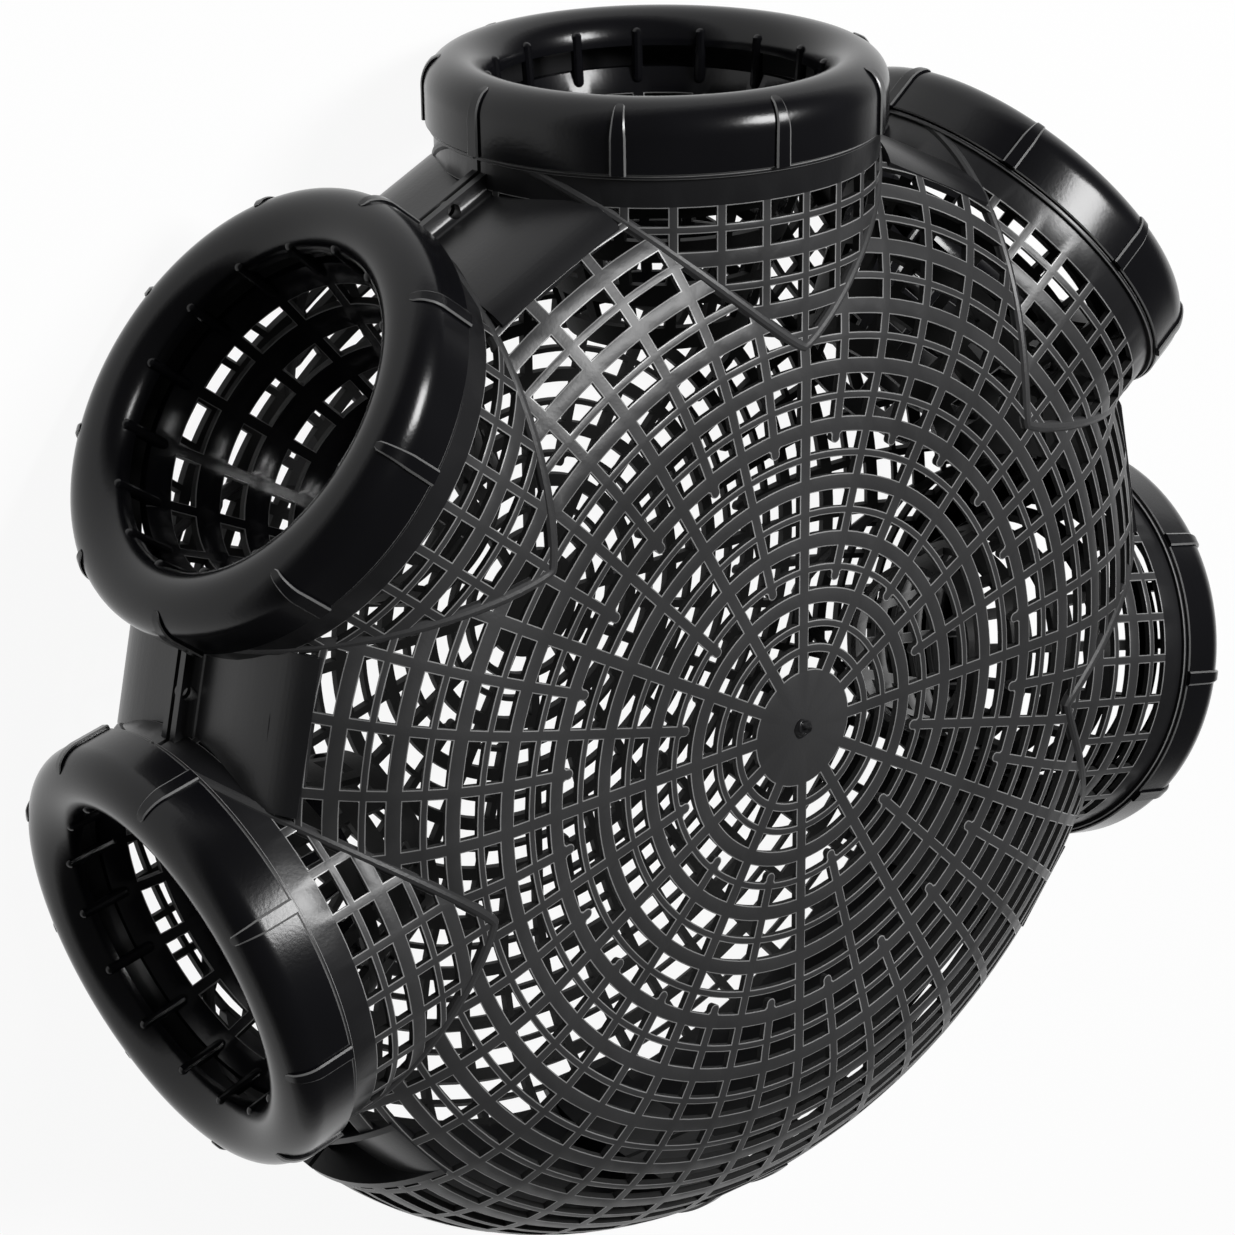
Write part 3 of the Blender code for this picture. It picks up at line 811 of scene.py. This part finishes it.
def plastic(name, colour, roughness, grain, shine=0.5):
    """Black moulded plastic: uneven gloss, fine surface grain and slightly worn colour."""
    material = bpy.data.materials.new(name)
    material.use_nodes = True
    nodes, links = material.node_tree.nodes, material.node_tree.links
    shader = nodes["Principled BSDF"]
    shader.inputs["Specular IOR Level"].default_value = shine
    where = nodes.new('ShaderNodeTexCoord')

    broad = nodes.new('ShaderNodeTexNoise')
    broad.inputs["Scale"].default_value = WEAR_SCALE
    broad.inputs["Detail"].default_value = 3.0
    links.new(where.outputs["Object"], broad.inputs["Vector"])
    tone = nodes.new('ShaderNodeValToRGB')
    tone.color_ramp.elements[0].position = WEAR_SPAN[0]
    tone.color_ramp.elements[0].color = (*[c * WEAR_TONE[0] for c in colour], 1)
    tone.color_ramp.elements[1].position = WEAR_SPAN[1]
    tone.color_ramp.elements[1].color = (*[c * WEAR_TONE[1] for c in colour], 1)
    links.new(broad.outputs["Fac"], tone.inputs["Fac"])
    links.new(tone.outputs["Color"], shader.inputs["Base Color"])

    gloss = nodes.new('ShaderNodeMapRange')
    gloss.inputs["To Min"].default_value = roughness * WEAR_GLOSS[0]
    gloss.inputs["To Max"].default_value = roughness * WEAR_GLOSS[1]
    links.new(broad.outputs["Fac"], gloss.inputs["Value"])
    links.new(gloss.outputs["Result"], shader.inputs["Roughness"])

    fine = nodes.new('ShaderNodeTexNoise')
    fine.inputs["Scale"].default_value = GRAIN_SCALE
    fine.inputs["Detail"].default_value = 2.0
    links.new(where.outputs["Object"], fine.inputs["Vector"])
    bump = nodes.new('ShaderNodeBump')
    bump.inputs["Strength"].default_value = grain
    bump.inputs["Distance"].default_value = GRAIN_HEIGHT
    links.new(fine.outputs["Fac"], bump.inputs["Height"])
    links.new(bump.outputs["Normal"], shader.inputs["Normal"])
    return material


def seen_rays(nodes, links):
    """1 for the rays that show the background: camera, glossy and transmission rays."""
    path = nodes.new('ShaderNodeLightPath')
    total = path.outputs["Is Camera Ray"]
    for kind in ("Is Glossy Ray", "Is Transmission Ray"):
        larger = nodes.new('ShaderNodeMath')
        larger.operation = 'MAXIMUM'
        links.new(total, larger.inputs[0])
        links.new(path.outputs[kind], larger.inputs[1])
        total = larger.outputs[0]
    return total


def white_stage(name):
    """White to the camera and to reflections, with a faint shadow."""
    material = bpy.data.materials.new(name)
    material.use_nodes = True
    nodes, links = material.node_tree.nodes, material.node_tree.links
    nodes.clear()
    out = nodes.new('ShaderNodeOutputMaterial')
    diffuse = nodes.new('ShaderNodeBsdfDiffuse')
    diffuse.inputs["Color"].default_value = (STAGE_TONE, STAGE_TONE, STAGE_TONE, 1)
    glow = nodes.new('ShaderNodeEmission')
    share = nodes.new('ShaderNodeMath')
    share.operation = 'MULTIPLY'
    share.inputs[1].default_value = STAGE_GLOW
    links.new(seen_rays(nodes, links), share.inputs[0])
    mix = nodes.new('ShaderNodeMixShader')
    links.new(share.outputs[0], mix.inputs[0])
    links.new(diffuse.outputs[0], mix.inputs[1])
    links.new(glow.outputs[0], mix.inputs[2])
    links.new(mix.outputs[0], out.inputs["Surface"])
    return material


# ---------------------------------------------------------------- assembly

def finish_piece(item, name, materials):
    item.name = name
    mesh = item.data
    mesh.name = name
    for index, material in enumerate(materials):
        mesh.materials[index] = material
    mesh.shade_smooth()
    mesh.set_sharp_from_angle(angle=SHARP_ANGLE)
    mesh.transform(Matrix.Translation(AXIS_POINT))
    return item


def shell_finishes():
    """In the order of the finishes: mesh face, edges coloured light as a painted highlight, inside
    faces darker than the mesh face as painted shade, smooth parts.
    """
    return [plastic("shell_plastic", (0.034, 0.034, 0.035), roughness=0.42, grain=0.25),
            # Painted highlight: light grey on the rims of the windows and on other small chamfers.
            plastic("shell_painted_edge_highlight", (0.24, 0.24, 0.24), roughness=0.3, grain=0.1),
            # Painted shade: the inside faces and the window tapers are much darker than the mesh face.
            plastic("shell_inside_painted_shade", (0.004, 0.004, 0.004), roughness=0.7, grain=0.3),
            plastic("shell_smooth", (0.011, 0.011, 0.012), roughness=0.3, grain=0.15, shine=0.4)]


def collar_finishes():
    """In the same order; the edge is coloured light as a painted highlight, and a collar's smooth parts
    are like its face.
    """
    face = plastic("collar_plastic", (0.004, 0.004, 0.005), roughness=0.2, grain=0.12, shine=0.32)
    # Painted highlight on the chamfers of the skirt and ribs and on the funnel's rims.
    edge = plastic("collar_painted_edge_highlight", (0.14, 0.14, 0.14), roughness=0.25, grain=0.1)
    inside = plastic("collar_inside", (0.004, 0.004, 0.004), roughness=0.5, grain=0.3, shine=0.3)
    return [face, edge, inside, face]


def make_pieces():
    shell_finish = shell_finishes()
    collar_finish = collar_finishes()
    upper = combine(upper_shell(FRONT_PAIRS), gate_mark(), 'UNION')
    lower = place(upper_shell(BACK_PAIRS), Matrix.Diagonal((1.0, 1.0, -1.0, 1.0)))
    lower.data.flip_normals()
    for item, name, node in ((upper, "front_shell_mesh", "front_shell"),
                             (lower, "back_shell_mesh", "back_shell")):
        finish_piece(item, name, shell_finish)
        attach(item, "cage")
        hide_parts(node)

    first = collar()
    for index, azimuth in enumerate(MOUTHS):
        item = new_object("collar", first.data.copy())
        turn = Matrix.Rotation(radians(COLLAR_TURNS[index]), 4, 'Z')
        place(item, towards_mouth(azimuth) @ Matrix.Translation((0, 0, SKIRT_EDGE)) @ turn)
        finish_piece(item, f"entrance_collar_mesh_{index + 1}", collar_finish)
        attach(item, f"collar_{index + 1}")
        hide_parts(f"entrance_collar_{index + 1}")
    bpy.data.objects.remove(first, do_unlink=True)


def view_matrix():
    """Camera axes in the world: X right, Y up, Z back."""
    back = Vector((cos(CAMERA_ELEVATION) * cos(CAMERA_AZIMUTH),
                   cos(CAMERA_ELEVATION) * sin(CAMERA_AZIMUTH), sin(CAMERA_ELEVATION)))
    level = back.to_track_quat('Z', 'Y').to_matrix()
    return level @ Matrix.Rotation(CAMERA_ROLL, 3, 'Z')


def make_camera():
    data = bpy.data.cameras.new("camera")
    data.lens = LENS
    data.sensor_width = SENSOR
    data.clip_start = 0.05
    camera = bpy.data.objects.new("camera", data)
    axes = view_matrix()
    position = CAMERA_AIM + axes.col[2] * CAMERA_DISTANCE
    camera.matrix_world = Matrix.Translation(position) @ axes.to_4x4()
    bpy.context.scene.collection.objects.link(camera)
    bpy.context.scene.camera = camera


def make_lamp(name, right, up, back, width, height, power):
    """A soft box at a place in camera axes from the trap, pointing at the trap."""
    data = bpy.data.lights.new(name, 'AREA')
    data.shape = 'RECTANGLE'
    data.size = width
    data.size_y = height
    data.energy = power
    lamp = bpy.data.objects.new(name, data)
    offset = view_matrix() @ Vector((right, up, back))
    lamp.matrix_world = (Matrix.Translation(AXIS_POINT + offset)
                         @ offset.to_track_quat('Z', 'Y').to_matrix().to_4x4())
    bpy.context.scene.collection.objects.link(lamp)


def make_world():
    """White to the camera; otherwise white round the horizon and dim overhead."""
    world = bpy.data.worlds.new("studio")
    bpy.context.scene.world = world
    world.use_nodes = True
    nodes, links = world.node_tree.nodes, world.node_tree.links
    background = nodes["Background"]
    background.inputs["Color"].default_value = (1, 1, 1, 1)
    where = nodes.new('ShaderNodeTexCoord')
    parts = nodes.new('ShaderNodeSeparateXYZ')
    links.new(where.outputs["Generated"], parts.inputs[0])
    room = nodes.new('ShaderNodeMapRange')
    room.interpolation_type = 'SMOOTHSTEP'
    room.inputs["From Min"].default_value = HORIZON[0]
    room.inputs["From Max"].default_value = HORIZON[1]
    room.inputs["To Min"].default_value = HORIZON_LIGHT
    room.inputs["To Max"].default_value = OVERHEAD_LIGHT
    links.new(parts.outputs["Z"], room.inputs["Value"])
    path = nodes.new('ShaderNodeLightPath')
    direct = nodes.new('ShaderNodeMath')
    direct.operation = 'MAXIMUM'
    links.new(path.outputs["Is Camera Ray"], direct.inputs[0])
    links.new(path.outputs["Is Transmission Ray"], direct.inputs[1])
    strength = nodes.new('ShaderNodeMath')
    strength.operation = 'MAXIMUM'
    links.new(room.outputs["Result"], strength.inputs[0])
    links.new(direct.outputs[0], strength.inputs[1])
    links.new(strength.outputs[0], background.inputs["Strength"])


def make_floor():
    shape = bmesh.new()
    bmesh.ops.create_grid(shape, x_segments=1, y_segments=1, size=6.0)
    floor = mesh_object("floor", shape)
    floor.data.materials[0] = white_stage("stage_white")


make_pieces()
make_camera()
make_lamp("soft_box_left", right=-1.45, up=0.62, back=0.85, width=0.7, height=0.5, power=34.0)
make_lamp("soft_box_right", right=1.25, up=0.45, back=1.1, width=0.55, height=0.55, power=30.0)
make_world()
make_floor()
bpy.context.scene.view_settings.view_transform = 'Standard'
